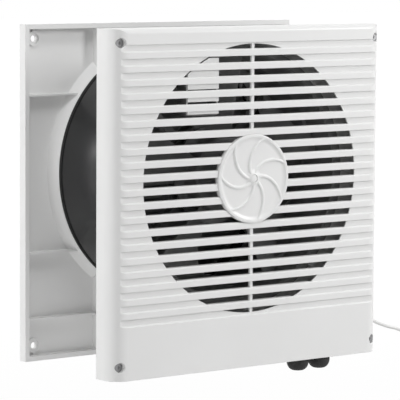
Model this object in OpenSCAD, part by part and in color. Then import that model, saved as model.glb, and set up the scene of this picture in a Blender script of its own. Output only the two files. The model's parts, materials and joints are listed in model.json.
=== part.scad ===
// Room-to-room fan: a louvred fan unit for one wall face, a sleeve that
// telescopes through the wall, and a square cover for the other face.
// Millimetres, +Z up, the louvres face -Y. The origin is on the axis of the
// sleeve, in the plane where the front unit sits on its wall.

/* [Covers] */
// Width and height of both square covers
cover_size = 290; // [280:1:320]
// Depth of the front cover, from the wall to its face
cover_depth = 25; // [24:0.5:40]
// Wall thickness of the moulded covers
wall = 2.4; // [1.8:0.1:3]
// Radius of the front cover's upright edges
side_round = 14; // [6:0.5:16]
// Radius of the front cover's top edge
top_round = 4; // [3:0.5:8]
// Height of the sleeve's axis above the middle of the covers
axis_rise = 16.2; // [10:0.1:18]
// Gap between fixed parts that fit together
fit_gap = 0.3; // [0.2:0.05:0.4]
// Distance between the two wall faces as shown
wall_gap = 105; // [100:1:125]

/* [Louvres] */
// Distance of the louvred opening's edge outside the sleeve
grille_over = 3.6; // [0:0.1:6]
// Height from one louvre slot to the next
slot_pitch = 11.3; // [9:0.1:13]
// Height of each slot
slot_h = 5.4; // [4:0.1:7]
// Number of slots and grooves
slot_count = 21; // [15:2:21]
// Depth of the grooves that carry the slots across the whole face
groove_depth = 1.5; // [0.6:0.1:1.8]
// Depth of a louvre bar
bar_depth = 6.5; // [4:0.5:9]
// Bevel on the top front edge of a bar
bar_bevel = 1.1; // [0.3:0.1:1.3]
// Width of the upright strut across the slots
strut_w = 3; // [2:0.5:6]
// Depth of the upright strut
strut_depth = 2.2; // [1.5:0.1:4]

/* [Rosette] */
// Radius of the rosette in the middle of the louvres
cap_r = 37.9; // [30:0.1:42]
// Height of the rosette's rim in front of the louvres
cap_rise = 1.2; // [0.8:0.1:2]
// Height of the crests between the petals above the petals' floors
petal_rise = 1.3; // [0.8:0.1:1.8]
// Number of petals
petal_count = 7; // [5:1:9]
// Turn of a petal's edge for each millimetre outwards, in degrees
petal_turn = 1.62; // [0.5:0.02:2]
// Radius of the boss in the middle of the rosette
boss_r = 4.4; // [3:0.1:6]

/* [Sleeve and fan] */
// Outer radius of the outer sleeve
sleeve_r = 110.9; // [106:0.1:113]
// Wall thickness of both sleeves
sleeve_wall = 1.6; // [1.2:0.1:2]
// Gap between the two sleeves
slide_gap = 0.4; // [0.3:0.05:0.6]
// Length of the inner sleeve behind the front unit's wall plane
inner_len = 88; // [80:1:89]
// Length of the outer sleeve in front of the far wall plane
outer_len = 85; // [70:1:88]
// Gap between the blade tips and the fan's ring
tip_gap = 1.9; // [1:0.1:4]
// Depth of the fan's ring behind the front unit's wall plane
ring_len = 56; // [54:1:70]
// Radius of the fan's hub
hub_r = 34; // [28:0.5:36]
// Radius of the rim at the back of the fan's hub
hub_rim_r = 43; // [38:0.5:46]
// Distance of the hub's front behind the front unit's wall plane
hub_front = 10; // [8:0.5:14]
// Length of the fan's hub
hub_len = 18; // [14:0.5:20]
// Number of fan blades
blade_count = 5; // [3:1:7]
// Thickness of a fan blade
blade_thick = 1.8; // [1.2:0.1:2.5]
// Distance that a blade climbs along the axis from edge to edge
blade_climb = 19; // [12:0.5:21]
// Radius of the motor
motor_r = 40; // [34:0.5:42]
// Length of the motor
motor_len = 28; // [24:0.5:34]
// Radius of the motor's shaft
shaft_r = 4; // [3:0.25:5]
// Running gap between the shaft and its bearings
shaft_gap = 0.05; // [0.02:0.01:0.08]
// Number of spider arms that carry the motor
arm_count = 4; // [3:1:6]

/* [Terminal box] */
// Width of the terminal box
box_w = 32.6; // [28:0.2:38]
// Distance of the terminal box's left side inside the sleeve's left end
box_side_in = 42.7; // [40:0.1:45]
// Distance of the terminal box's top below the sleeve's top
box_top_in = 6.6; // [5:0.1:8]
// Number of slats on the terminal box's lid
slat_count = 5; // [3:1:6]
// Height of a slat
slat_h = 5.2; // [4:0.1:7]
// Height from one slat to the next
slat_pitch = 10.4; // [9:0.1:12]
// Depth of a slat
slat_t = 2.4; // [2:0.1:4]

/* [Controls] */
// Radius of a knob at its widest
knob_r = 9.6; // [8.5:0.1:11]
// Length of a knob below the front unit
knob_drop = 10.5; // [9:0.5:14]
// Distance of the first knob from the axis
knob_x = 61; // [40:1:70]
// Distance between the knobs' axes
knob_spacing = 24; // [23:0.5:30]
// Radius of a knob's spindle
spindle_r = 3; // [2:0.25:3.5]

/* [Far cover] */
// Depth of the tray in the far cover
tray_depth = 8.5; // [7:0.5:12]
// Width of the far cover's rim
rim_w = 4.2; // [3:0.1:5]
// Rounding of the far cover's outer edge
rear_round = 3; // [1.5:0.5:4]
// Thickness of the far cover's ribs
rib_w = 1.8; // [1.2:0.1:3]
// Distance of the main ribs from the axis
rib_at = 68; // [50:1:80]
// Width of the collar round the sleeve at its lip
collar_lip = 0.8; // [0.6:0.1:1.6]
// Width of the collar round the sleeve where it meets the tray
collar_foot = 5.6; // [4:0.1:8]
// Height of the collar's lip in front of the far cover's rim
collar_rise = 2; // [0:0.5:4]
// Thickness of the far cover's slanted louvres
louvre_t = 2.4; // [1.6:0.1:3.2]
// Width of the rubber ring on the sleeve
seal_w = 2.8; // [1.5:0.1:8]
// Thickness of the rubber ring on the sleeve
seal_t = 0.8; // [0.5:0.1:1.2]

/* [Fixings] */
// Distance of the corner screws from the sides of the covers
corner_side = 8; // [8:0.5:11]
// Distance of the corner screws from the top and bottom of the covers
corner_end = 11.5; // [10:0.5:15]
// Radius of the recess round a corner screw
recess_r = 4; // [3.5:0.1:4.5]
// Radius of a corner screw's thread
screw_r = 1.75; // [1.5:0.05:2]
// Depth of a corner screw's head below the front
screw_depth = 4.2; // [3:0.1:5]
// Radius of the far cover's corner holes
rear_hole_r = 3; // [2.5:0.1:3.4]
// Distance of the far cover's holes from its sides
rear_hole_side = 13.3; // [12:0.1:16]
// Distance of the far cover's holes from its top and bottom
rear_hole_end = 12.4; // [11:0.1:16]
// Radius of the front unit's wall screw holes
wall_hole_r = 2.5; // [2:0.1:3]
// Distance of the wall screw holes from the sides of the front unit
wall_hole_side = 23; // [19:1:25]
// Distance of the wall screw holes from the axis, up and down
wall_hole_z = 100; // [90:1:108]

/* [Mains lead] */
// Diameter of the mains lead
lead_d = 3; // [2.5:0.1:3.2]
// Mean radius of the coiled lead
coil_r = 18.2; // [17:0.1:20]
// Distance between neighbouring turns across the coil
turn_pitch = 3.9; // [3.8:0.05:4.2]
// Distance between the coil's layers
layer_pitch = 3.75; // [3.7:0.05:4.2]
// Number of layers in the coil
layer_count = 4; // [2:2:4]
// Turns in each layer of the coil
layer_turns = 3.125; // [2.5:0.125:3.5]

/* [Hidden] */

white = [0.93, 0.93, 0.92];
charcoal = [0.2, 0.2, 0.21];
black = [0.1, 0.1, 0.1];
steel = [0.7, 0.7, 0.72];
brass = [0.8, 0.65, 0.35];

over = 1;            // how far a cut runs past a face
round_fn = 96;       // segments of a plain circle, which is a true circle
half = cover_size / 2;
mid_z = -axis_rise;
top_z = mid_z + half;
bottom_z = mid_z - half;
face_y = -cover_depth;
skin_y = face_y + wall;
bar_back_y = face_y + bar_depth;
full_turn = 360;

// Grille
slots_low = -(slot_count - 1) / 2 * slot_pitch;
strut_y = face_y + groove_depth;
grille_r = sleeve_r + grille_over;
rib_disc_r = grille_r - 0.5;
cap_back_y = skin_y + 0.2;
cap_front_y = face_y - cap_rise;
cap_seat_r = cap_r - 2;
cap_clear = 0.15;
cap_edge = 0.9;
cap_skin = 0.4;
boss_rise = 0.6;

// Sleeves and fan
outer_bore_r = sleeve_r - sleeve_wall;
inner_r = outer_bore_r - slide_gap;
inner_bore_r = inner_r - sleeve_wall;
flange_r = inner_r + 3.8;
flange_t = 2;
base_t = 3;
base_front_y = -base_t;
sleeve_flange_y = base_front_y - flange_t;
frame_flange_y = sleeve_flange_y - flange_t;
ring_r = inner_bore_r - fit_gap;
ring_wall = 2.4;
ring_bore_r = ring_r - ring_wall;
tip_r = ring_bore_r - tip_gap;
base_bore_r = inner_r + 0.2;
hook_gap = 0.2;
hook_w = 7;
hook_t = 2.4;
hook_nose = 2;
hook_nose_t = 3;
hook_front_y = frame_flange_y - hook_gap - hook_nose_t;

// Motor stack along the axis
hub_wall = 2.5;
hub_back = hub_front + hub_len;
hub_rim_t = 2;
hub_edge = 3;
hub_motor_gap = 10;
motor_nose_len = 3;
motor_front = hub_back + hub_motor_gap;
motor_back = motor_front + motor_len;
cup_wall = 2.5;
cup_bore_r = motor_r + fit_gap;
cup_r = cup_bore_r + cup_wall;
cup_front = motor_front + motor_nose_len;
cup_len = 12;
cup_floor_t = 2.5;
arm_w = 7;
arm_front = cup_front + 1;
arm_len = 8;
bearing_r = 8;
bearing_len = 7;
bearing_inset = 2;
shaft_bore_r = shaft_r + shaft_gap;
nut_t = 4;
nut_r = shaft_r + 4;
shaft_front = hub_front - nut_t - 1.5;
shaft_back = motor_back - bearing_inset + 1;
boss_wall = 5;
motor_screw_r = 1.5;
motor_screw_reach = 12;
motor_screw_ring = bearing_r + motor_screw_reach;
motor_screw_head = 2;
motor_screw_len = 8;
motor_can_step = 6.5;
motor_nose_step = 12;
cup_hole_step = 6;
shaft_clear = 2;

// Controls
control_w = 16;
control_h = 9;
control_y = face_y / 2 - 0.5;
bush_r = spindle_r + 0.9;
bush_gap = 0.05;
bush_len = 7;
nut_w_r = bush_r + 2.6;
control_nut_t = 2;
knob_gap = 0.8;
knob_recess = bush_len - wall + 1.2 - knob_gap;
knob_low_z = bottom_z - knob_drop;
spindle_low_z = knob_low_z + 2.5;
spindle_top_z = bottom_z + wall + control_h - 2.5;

// Far cover
rim_y = wall_gap;
floor_y = rim_y + tray_depth;
rear_t = wall;
rear_y = floor_y + rear_t;
collar_bore_r = sleeve_r + 0.2;
collar_lip_y = rim_y - collar_rise;
collar_fillet = 1;
seal_gap = 0.1;
rear_grille_r = inner_bore_r - 6;
louvre_r = outer_bore_r - fit_gap;
louvre_wall = 1.6;
rear_hole_x = half - rear_hole_side;
rear_hole_z = half - rear_hole_end;
rear_boss_r = rear_hole_r + 3.4;
rear_boss_h = 2;
rear_sink_r = rear_hole_r + 1.8;
rear_sink_depth = 0.8;
low_rib_z = -1.84 * rib_at;

// Corner fixings
corner_x = half - corner_side;
corner_z = half - corner_end;
wall_hole_x = half - wall_hole_side;
head_t = 2;
recess_depth = screw_depth + head_t;
cover_boss_r = recess_r + 1.9;
boss_gap = 0.3;
post_r = screw_r + 2.7;
post_front_y = -9.5;
head_r = recess_r - 0.3;
cross_len = 0.7 * head_r;
cross_w = 0.7;
cross_depth = 0.8;

// Terminal box
box_edge = 1.1;
box_h = (slat_count - 1) * slat_pitch + slat_h + 2 * box_edge;
box_x = box_side_in - sleeve_r;
box_z = sleeve_r - box_top_in - box_h;
box_front_y = skin_y + 0.2;
box_back_gap = 0.5;
box_back_y = frame_flange_y - box_back_gap;
box_wall = 1.6;
box_clear = 1.2;
lid_y = box_front_y + slat_t;
lid_inset = 1.6;
web_w = 1;
web_setback = 1.6;
lid_screw_r = 1.2;
lid_head_t = 1.2;
foot = 6;

// Mains lead, drawn from the grommet to the plug
lead_r = lead_d / 2;
grommet_flange_t = 0.8;
grommet_flange_r = lead_r + 2.6;
grommet_neck_r = lead_r + 1.4;
grommet_tail = 20;
lead_up = 9.5;
lead_exit = [half + grommet_flange_t, -8, lead_up - half];
lead_route = [
    lead_exit, [149, -8, -135.7], [152, -8, -136.6], [156, -8, -138.3], [160, -8, -140],
    [165, -8, -141.8], [172, -8, -144], [179, -8, -145.8], [186, -8, -148.2], [194, -8, -151.3],
    [203, -8, -155.6], [212, -7.5, -160.6], [221, -6.5, -166.6], [229.5, -5.5, -173.5],
    [237, -5, -181.3], [243.5, -4.7, -190], [248.5, -4.5, -199.5], [251.3, -4.5, -207.5],
    [252, -4.5, -214], [252, -4.5, -217]];
coil_out_r = coil_r + layer_turns * turn_pitch / 2;
coil_in_r = coil_r - layer_turns * turn_pitch / 2;
lead_end = lead_route[len(lead_route) - 1];
coil_x = lead_end[0] - coil_out_r;
coil_z = lead_end[2] - lead_d;
coil_y = lead_end[1];
coil_rings = 24;
climb_turns = 0.5;
coil_total = layer_count * layer_turns + (layer_count - 1) * climb_turns;
coil_back_y = coil_y - (layer_count - 1) * layer_pitch;
tail_drop = 22;
plug_top = [lead_end[0], coil_back_y, coil_z - lead_d - tail_drop];
relief_len = 14;
plug_w = 22;
plug_t = 14;
plug_h = 24;
blade_w = 6.3;
blade_len = 17;
blade_gap = 12.7;
tie_w = 6;
tie_t = 1;
tie_gap = 0.4;

// Helpers

// A plain disc or tube on the sleeve's axis
module disc(r, front, back) {
    translate([0, front, 0]) rotate([-90, 0, 0]) cylinder(r = r, h = back - front, $fn = round_fn);
}

module tube(r, bore_r, front, back) {
    difference() {
        disc(r, front, back);
        disc(bore_r, front - over, back + over);
    }
}

// A solid turned about the sleeve's axis from points [radius, y]
module turned(points) {
    rotate([-90, 0, 0]) rotate_extrude($fn = round_fn) polygon(points);
}

module at_corners(x, z) {
    for (sx = [-1, 1]) for (sz = [-1, 1]) translate([sx * x, 0, mid_z + sz * z]) children();
}

// Rings of points round a path, with the path kept square to the Y axis
function unit(v) = v / norm(v);
function heading(path, i) =
    unit(path[min(i + 1, len(path) - 1)] - path[max(i - 1, 0)]);
function ring_at(path, i, r, sides) =
    let (t = heading(path, i), n = unit(cross(t, [0, 1, 0])), b = cross(n, t))
    [for (k = [0:sides - 1]) let (a = full_turn * k / sides) path[i] + r * (cos(a) * n + sin(a) * b)];

// One unbroken tube along a path, with flat ends
module swept(path, r, sides) {
    count = len(path);
    points = [for (i = [0:count - 1]) each ring_at(path, i, r, sides)];
    walls = [for (i = [0:count - 2]) for (k = [0:sides - 1])
        let (a = i * sides + k, b = i * sides + (k + 1) % sides)
        each [[a, b, b + sides], [a, b + sides, a + sides]]];
    first_end = [for (k = [1:sides - 2]) [0, k + 1, k]];
    last = (count - 1) * sides;
    last_end = [for (k = [1:sides - 2]) [last, last + k, last + k + 1]];
    polyhedron(points, concat(walls, first_end, last_end));
}

// Front cover

// Plan of the cover with rounded upright front edges, drawn on X and Y
module cover_plan(inset, back) {
    h = half - inset;
    r = side_round - inset;
    front = face_y + inset;
    translate([-h + r, front]) square([2 * (h - r), back - front]);
    translate([-h, front + r]) square([2 * h, back - front - r]);
    for (s = [-1, 1]) translate([s * (h - r), front + r]) circle(r, $fn = round_fn);
}

// Side view of the cover with a rounded top front edge, drawn on Y and Z
module cover_side(inset, back) {
    front = face_y + inset;
    high = top_z - inset;
    low = bottom_z + inset;
    r = max(top_round - inset, 0.5);
    translate([front + r, low]) square([back - front - r, high - low]);
    translate([front, low]) square([back - front, high - low - r]);
    translate([front + r, high - r]) circle(r, $fn = round_fn);
}

module cover_form(inset, back) {
    intersection() {
        translate([0, 0, bottom_z + inset])
            linear_extrude(cover_size - 2 * inset) cover_plan(inset, back);
        translate([-half, 0, 0]) rotate([90, 0, 90]) linear_extrude(cover_size) cover_side(inset, back);
    }
}

// Section of one groove on Y and Z, with the bevel of the bar below it
module groove_section() {
    polygon([[face_y - over, slot_h / 2], [face_y + groove_depth, slot_h / 2],
        [face_y + groove_depth, -slot_h / 2], [face_y + bar_bevel, -slot_h / 2],
        [face_y - over, -slot_h / 2 - bar_bevel - over]]);
}

module at_slots() {
    for (i = [0:slot_count - 1]) translate([0, 0, slots_low + i * slot_pitch]) children();
}

module slot_boxes(front, back) {
    at_slots() translate([-half, front, -slot_h / 2]) cube([cover_size, back - front, slot_h]);
}

module front_cover() {
    color(white) {
        difference() {
            union() {
                difference() {
                    cover_form(0, 0);
                    cover_form(wall, over);
                }
                intersection() {
                    at_corners(corner_x, corner_z) disc(cover_boss_r, skin_y - over, post_front_y - boss_gap);
                    cover_form(0, 0);
                }
            }
            intersection() {
                slot_boxes(face_y - over, skin_y + over);
                disc(grille_r, face_y - over, skin_y + over);
            }
            at_slots() translate([-half - over, 0, 0]) rotate([90, 0, 90])
                linear_extrude(cover_size + 2 * over) groove_section();
            disc(cap_r + cap_clear, face_y - over, cap_back_y);
            at_corners(corner_x, corner_z) {
                disc(recess_r, face_y - over, face_y + recess_depth);
                disc(screw_r + 0.2, face_y, 0);
            }
            for (i = [0, 1]) translate([knob_x + i * knob_spacing, control_y, bottom_z - over])
                cylinder(r = bush_r + 0.1, h = wall + 2 * over, $fn = round_fn);
            translate([half - wall - over, lead_exit[1], lead_exit[2]]) rotate([0, 90, 0])
                cylinder(r = grommet_neck_r, h = wall + 2 * over, $fn = round_fn);
        }
        difference() {
            disc(rib_disc_r, skin_y - 0.2, bar_back_y);
            slot_boxes(face_y, bar_back_y + over);
            disc(cap_r + cap_clear, face_y - over, cap_back_y);
            translate([box_x - box_clear, skin_y, box_z - box_clear])
                cube([box_w + 2 * box_clear, bar_depth, box_h + 2 * box_clear]);
        }
        disc(cap_seat_r, cap_back_y, bar_back_y);
        difference() {
            translate([-strut_w / 2, strut_y, -grille_r]) cube([strut_w, strut_depth, 2 * grille_r]);
            disc(cap_r + cap_clear, face_y - over, cap_back_y);
        }
    }
}

// Rosette: rings of points whose height follows the petals, which turn as
// they run outwards. Each petal is a shallow scoop between two crests.
petal_columns = [0, 0.04, 0.09, 0.16, 0.27, 0.4, 0.6, 0.73, 0.84, 0.91, 0.96];
petal_steps = len(petal_columns);
cap_ring_count = 15;
petal_in_r = boss_r + 0.6;
petal_out_r = cap_r - 2.6;
petal_start = 121;
petal_in_fade = 4;
petal_out_fade = 3.5;
crest_power = 5;
petal_floor = 0.9;

// Share of a petal's full depth: across it, from crest to crest, and along
// it, from the boss to the rim
function ease(t) = sin(full_turn / 4 * min(1, t));
function petal_hollow(u) = 1 - pow(abs(2 * u - 1), crest_power);
function petal_fade(r) = ease((r - petal_in_r) / petal_in_fade) * ease((petal_out_r - r) / petal_out_fade);
function cap_ring_radius(i) =
    petal_in_r + (petal_out_r - petal_in_r) * (1 - cos(full_turn / 2 * i / (cap_ring_count - 1))) / 2;
function cap_point(r, k) =
    let (u = petal_columns[k % petal_steps], petal = floor(k / petal_steps),
        a = petal_start - full_turn * (petal + u) / petal_count - petal_turn * (r - petal_in_r))
    [r * cos(a), cap_front_y + petal_rise * petal_hollow(u) * petal_fade(r), r * sin(a)];

module petals() {
    around = petal_steps * petal_count;
    back = cap_front_y + petal_rise + petal_floor;
    top = [for (i = [0:cap_ring_count - 1]) for (k = [0:around - 1]) cap_point(cap_ring_radius(i), k)];
    rims = [for (i = [0, cap_ring_count - 1]) for (k = [0:around - 1])
        let (p = cap_point(cap_ring_radius(i), k)) [p[0], back, p[2]]];
    inner = cap_ring_count * around;
    outer = inner + around;
    last = (cap_ring_count - 1) * around;
    faces = concat(
        [for (i = [0:cap_ring_count - 2]) for (k = [0:around - 1])
            let (a = i * around + k, b = i * around + (k + 1) % around)
            each [[a, b + around, b], [a, a + around, b + around]]],
        [for (k = [0:around - 1]) let (n = (k + 1) % around)
            each [[k, n, inner + n], [k, inner + n, inner + k]]],
        [for (k = [0:around - 1]) let (n = (k + 1) % around)
            each [[last + k, outer + n, last + n], [last + k, outer + k, outer + n]]],
        [for (k = [0:around - 1]) let (n = (k + 1) % around)
            each [[inner + k, inner + n, outer + n], [inner + k, outer + n, outer + k]]]);
    polyhedron(concat(top, rims), faces);
}

module swirl_cap() {
    color(white) {
        turned([[0, cap_back_y], [cap_r, cap_back_y], [cap_r, cap_front_y + cap_edge],
            [cap_r - cap_edge / 3, cap_front_y + cap_edge / 3], [cap_r - cap_edge, cap_front_y],
            [petal_out_r - 0.3, cap_front_y], [petal_out_r - 0.3, cap_front_y + petal_rise + cap_skin],
            [0, cap_front_y + petal_rise + cap_skin]]);
        turned([[0, cap_front_y], [boss_r * 0.68, cap_front_y], [boss_r * 0.76, cap_front_y + cap_skin],
            [boss_r * 0.84, cap_front_y - boss_rise], [boss_r, cap_front_y - boss_rise / 2],
            [petal_in_r + 0.3, cap_front_y], [petal_in_r + 0.3, cap_front_y + petal_rise + cap_skin],
            [0, cap_front_y + petal_rise + cap_skin]]);
        petals();
    }
}

// Base of the front unit, with four hooks that hold the fan's ring and posts
// for the corner screws
module front_base() {
    base_half = half - wall - fit_gap;
    color(white) {
        difference() {
            union() {
                translate([-base_half, base_front_y, mid_z - base_half])
                    cube([2 * base_half, base_t, 2 * base_half]);
                at_corners(corner_x, corner_z) disc(post_r, post_front_y, base_front_y + over);
            }
            disc(base_bore_r, base_front_y - over, over);
            at_corners(corner_x, corner_z) disc(screw_r, post_front_y - over, over);
            for (sx = [-1, 1]) for (sz = [-1, 1]) translate([sx * wall_hole_x, 0, sz * wall_hole_z])
                disc(wall_hole_r, base_front_y - over, over);
        }
        for (a = [45:90:315]) rotate([0, a, 0]) {
            translate([-hook_w / 2, hook_front_y, flange_r + hook_gap])
                cube([hook_w, base_front_y - hook_front_y + over, hook_t]);
            translate([-hook_w / 2, hook_front_y, flange_r + hook_gap - hook_nose])
                cube([hook_w, hook_nose_t, hook_nose + over]);
        }
        translate([box_x, box_back_y, box_z + box_h - foot]) cube([foot, -box_back_y - over, foot]);
    }
}

module cover_screws() {
    color(steel) at_corners(corner_x, corner_z) difference() {
        union() {
            disc(head_r, face_y + screw_depth, face_y + recess_depth);
            disc(screw_r, face_y + recess_depth - over, -over);
        }
        for (a = [0, 90]) rotate([0, a, 0])
            translate([-cross_len / 2, face_y + screw_depth - over, -cross_w / 2])
                cube([cross_len, over + cross_depth, cross_w]);
    }
}

// Inner sleeve and the ring and spider that carry the motor
module inner_sleeve() {
    color(charcoal) turned([[inner_bore_r, sleeve_flange_y], [flange_r, sleeve_flange_y],
        [flange_r, base_front_y], [inner_r, base_front_y], [inner_r, inner_len - 1],
        [inner_r - 0.6, inner_len], [inner_bore_r, inner_len]]);
}

module fan_frame() {
    color(charcoal) difference() {
        union() {
            turned([[ring_bore_r + 1.5, frame_flange_y], [flange_r, frame_flange_y],
                [flange_r, sleeve_flange_y], [ring_r, sleeve_flange_y], [ring_r, ring_len],
                [ring_bore_r, ring_len], [ring_bore_r, frame_flange_y + 1.5]]);
            disc(cup_r, cup_front, cup_front + cup_len);
            for (i = [0:arm_count - 1]) rotate([0, 45 + full_turn * i / arm_count, 0])
                translate([-arm_w / 2, arm_front, cup_bore_r + 1])
                    cube([arm_w, arm_len, ring_bore_r + 1 - cup_bore_r - 1]);
        }
        disc(cup_bore_r, cup_front - over, cup_front + cup_len - cup_floor_t);
        disc(motor_r - cup_hole_step, cup_front, cup_front + cup_len + over);
    }
}

// Motor: a can with two bearings, held in the spider's cup
module motor_housing() {
    color(steel) difference() {
        union() {
            disc(motor_r, cup_front, cup_front + cup_len - cup_floor_t);
            disc(motor_r - motor_can_step, cup_front, motor_back);
            disc(motor_r - motor_nose_step, motor_front, cup_front + over);
        }
        disc(bearing_r, motor_front - over, motor_front + bearing_len);
        disc(bearing_r, motor_back - bearing_inset - bearing_len, motor_back + over);
        disc(shaft_r + shaft_clear, motor_front, motor_back);
        for (a = [45:90:315]) rotate([0, a, 0]) translate([0, 0, motor_screw_ring])
            disc(motor_screw_r, motor_back - motor_screw_len, motor_back + over);
    }
}

module bearing(front) {
    color(brass) tube(bearing_r, shaft_bore_r, front, front + bearing_len);
}

module front_bearing() {
    bearing(motor_front);
}

module rear_bearing() {
    bearing(motor_back - bearing_inset - bearing_len);
}

module motor_screws() {
    color(steel) for (a = [45:90:315]) rotate([0, a, 0]) translate([0, 0, motor_screw_ring]) {
        disc(motor_screw_r, motor_back - motor_screw_len, motor_back);
        disc(motor_screw_r * 1.9, motor_back, motor_back + motor_screw_head);
    }
}

// Terminal box in front of the fan, carried on a foot of the base. Its lid is
// a row of slats joined by two webs, clipped to the round opening and held by
// one screw from behind.
module at_lid_screw() {
    translate([box_x + box_w / 2, 0, box_z + box_edge + floor(slat_count / 2) * slat_pitch + slat_h / 2])
        children();
}

module terminal_box() {
    color(charcoal) difference() {
        translate([box_x, lid_y, box_z]) cube([box_w, box_back_y - lid_y, box_h]);
        translate([box_x + box_wall, lid_y - over, box_z + box_wall])
            cube([box_w - 2 * box_wall, box_back_y - lid_y - box_wall + over, box_h - 2 * box_wall]);
        at_lid_screw() disc(lid_screw_r, lid_y, box_back_y + over);
    }
}

module terminal_lid() {
    color(white) difference() {
        union() {
            intersection() {
                union() {
                    for (i = [0:slat_count - 1])
                        translate([box_x, box_front_y, box_z + box_edge + i * slat_pitch])
                            cube([box_w, slat_t, slat_h]);
                    for (x = [box_x, box_x + box_w - web_w])
                        translate([x, box_front_y + web_setback, box_z + box_edge])
                            cube([web_w, slat_t - web_setback, box_h - 2 * box_edge]);
                }
                disc(grille_r - lid_inset, box_front_y - over, lid_y + over);
            }
            at_lid_screw() disc(slat_h / 2, lid_y - over, box_back_y - box_wall);
        }
        at_lid_screw() disc(lid_screw_r, lid_y, box_back_y);
    }
}

module lid_screw() {
    color(steel) at_lid_screw() {
        disc(lid_screw_r, lid_y, box_back_y + over);
        disc(lid_screw_r * 2, box_back_y, box_back_y + lid_head_t);
    }
}

// Controls above the knobs
module control(index) {
    x = knob_x + index * knob_spacing;
    z = bottom_z + wall;
    color(charcoal) difference() {
        union() {
            translate([x - control_w / 2, control_y - control_w / 2, z])
                cube([control_w, control_w, control_h]);
            translate([x, control_y, z - bush_len]) cylinder(r = bush_r, h = bush_len + over, $fn = round_fn);
        }
        translate([x, control_y, z - bush_len - over])
            cylinder(r = spindle_r + bush_gap, h = spindle_top_z + 0.5 - z + bush_len + over, $fn = round_fn);
    }
}

module speed_control() {
    control(0);
}

module power_switch() {
    control(1);
}

module control_nuts() {
    color(steel) for (i = [0, 1]) translate([knob_x + i * knob_spacing, control_y, bottom_z - control_nut_t])
        difference() {
            cylinder(r = nut_w_r, h = control_nut_t, $fn = 6);
            translate([0, 0, -over]) cylinder(r = bush_r, h = control_nut_t + 2 * over, $fn = round_fn);
        }
}

module knob(index) {
    top = bottom_z - knob_gap;
    color(black) translate([knob_x + index * knob_spacing, control_y, 0])
        rotate_extrude($fn = round_fn) polygon(concat(
            [[spindle_r, top - knob_recess], [nut_w_r + 0.7, top - knob_recess], [nut_w_r + 0.7, top],
                [knob_r - 0.4, top], [knob_r, top - 0.5], [knob_r, top - 2]],
            [for (a = [10:10:80]) [knob_r * 0.35 + knob_r * 0.65 * cos(a),
                top - 2 - (top - 2 - knob_low_z) * sin(a)]],
            [[knob_r * 0.35, knob_low_z], [0, knob_low_z], [0, spindle_low_z], [spindle_r, spindle_low_z]]));
}

module speed_knob() {
    knob(0);
}

module switch_knob() {
    knob(1);
}

module spindle(index) {
    color(steel) translate([knob_x + index * knob_spacing, control_y, spindle_low_z])
        cylinder(r = spindle_r, h = spindle_top_z - spindle_low_z, $fn = round_fn);
}

module speed_spindle() {
    spindle(0);
}

module switch_spindle() {
    spindle(1);
}

// Fan
blade_rows = 9;
blade_columns = 8;
blade_front = hub_front + 3;
blade_root_r = hub_r - 1.2;
blade_start = 8;
root_span = 40;
waist_span = 30;
tip_span = full_turn / blade_count - 1;
tip_power = 8;
blade_camber = 1.35;

// Angle that a blade covers at a radius: narrow at its waist and broad at the
// tip, where its back edge sweeps round to the next blade
function blade_span(r) =
    let (q = r / tip_r)
    waist_span + (tip_span - waist_span) * pow(q, tip_power)
        + (root_span - waist_span) * pow(max(0, 1 - q) / (1 - blade_root_r / tip_r), 2);
function blade_point(i, j, side) =
    let (r = blade_root_r + (tip_r - blade_root_r) * i / blade_rows, t = j / blade_columns,
        a = blade_start + t * blade_span(r),
        y = blade_front + blade_climb * (1 - pow(1 - t, blade_camber)) + side * blade_thick)
    [r * cos(a), y, r * sin(a)];

module blade() {
    across = blade_columns + 1;
    count = (blade_rows + 1) * across;
    points = [for (s = [0, 1]) for (i = [0:blade_rows]) for (j = [0:blade_columns]) blade_point(i, j, s)];
    function quad(a, b, c, d) = [[a, b, c], [a, c, d]];
    skins = [for (i = [0:blade_rows - 1]) for (j = [0:blade_columns - 1])
        let (a = i * across + j, b = a + 1, c = b + across, d = a + across)
        each concat(quad(a, b, c, d), quad(count + d, count + c, count + b, count + a))];
    ends = [for (j = [0:blade_columns - 1]) for (i = [0, blade_rows])
        let (a = i * across + j, b = a + 1)
        each i == 0 ? quad(b, a, count + a, count + b) : quad(a, b, count + b, count + a)];
    sides = [for (i = [0:blade_rows - 1]) for (j = [0, blade_columns])
        let (a = i * across + j, d = a + across)
        each j == 0 ? quad(a, d, count + d, count + a) : quad(d, a, count + a, count + d)];
    polyhedron(points, concat(skins, ends, sides));
}

module impeller() {
    color(charcoal) {
        difference() {
            turned([[0, hub_front], [hub_r - hub_edge, hub_front],
                [hub_r - hub_edge / 3, hub_front + hub_edge / 3], [hub_r, hub_front + hub_edge],
                [hub_r, hub_back - hub_edge], [hub_rim_r, hub_back],
                [hub_rim_r, hub_back + hub_rim_t], [hub_r - hub_wall, hub_back + hub_rim_t],
                [hub_r - hub_wall, hub_front + hub_wall], [shaft_r + boss_wall, hub_front + hub_wall],
                [shaft_r + boss_wall, hub_back], [0, hub_back]]);
            disc(shaft_r, hub_front - over, hub_back + over);
        }
        for (i = [0:blade_count - 1]) rotate([0, -full_turn * i / blade_count, 0]) blade();
    }
}

module motor_shaft() {
    color(steel) disc(shaft_r, shaft_front, shaft_back);
}

module hub_nut() {
    color(steel) difference() {
        translate([0, hub_front - nut_t, 0]) rotate([-90, 0, 0]) cylinder(r = nut_r, h = nut_t, $fn = 6);
        disc(shaft_r, hub_front - nut_t - over, hub_front + over);
    }
}

// Far cover: a tray with ribs, a collar for the sleeve, corner bosses and
// louvres of its own
module rear_form() {
    translate([0, 0, mid_z]) intersection() {
        translate([0, 0, -half]) linear_extrude(cover_size) rear_section();
        translate([-half, 0, 0]) rotate([0, 90, 0]) rotate([0, 0, 90])
            linear_extrude(cover_size) mirror([1, 0]) rotate(90) rear_section();
    }
}

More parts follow.
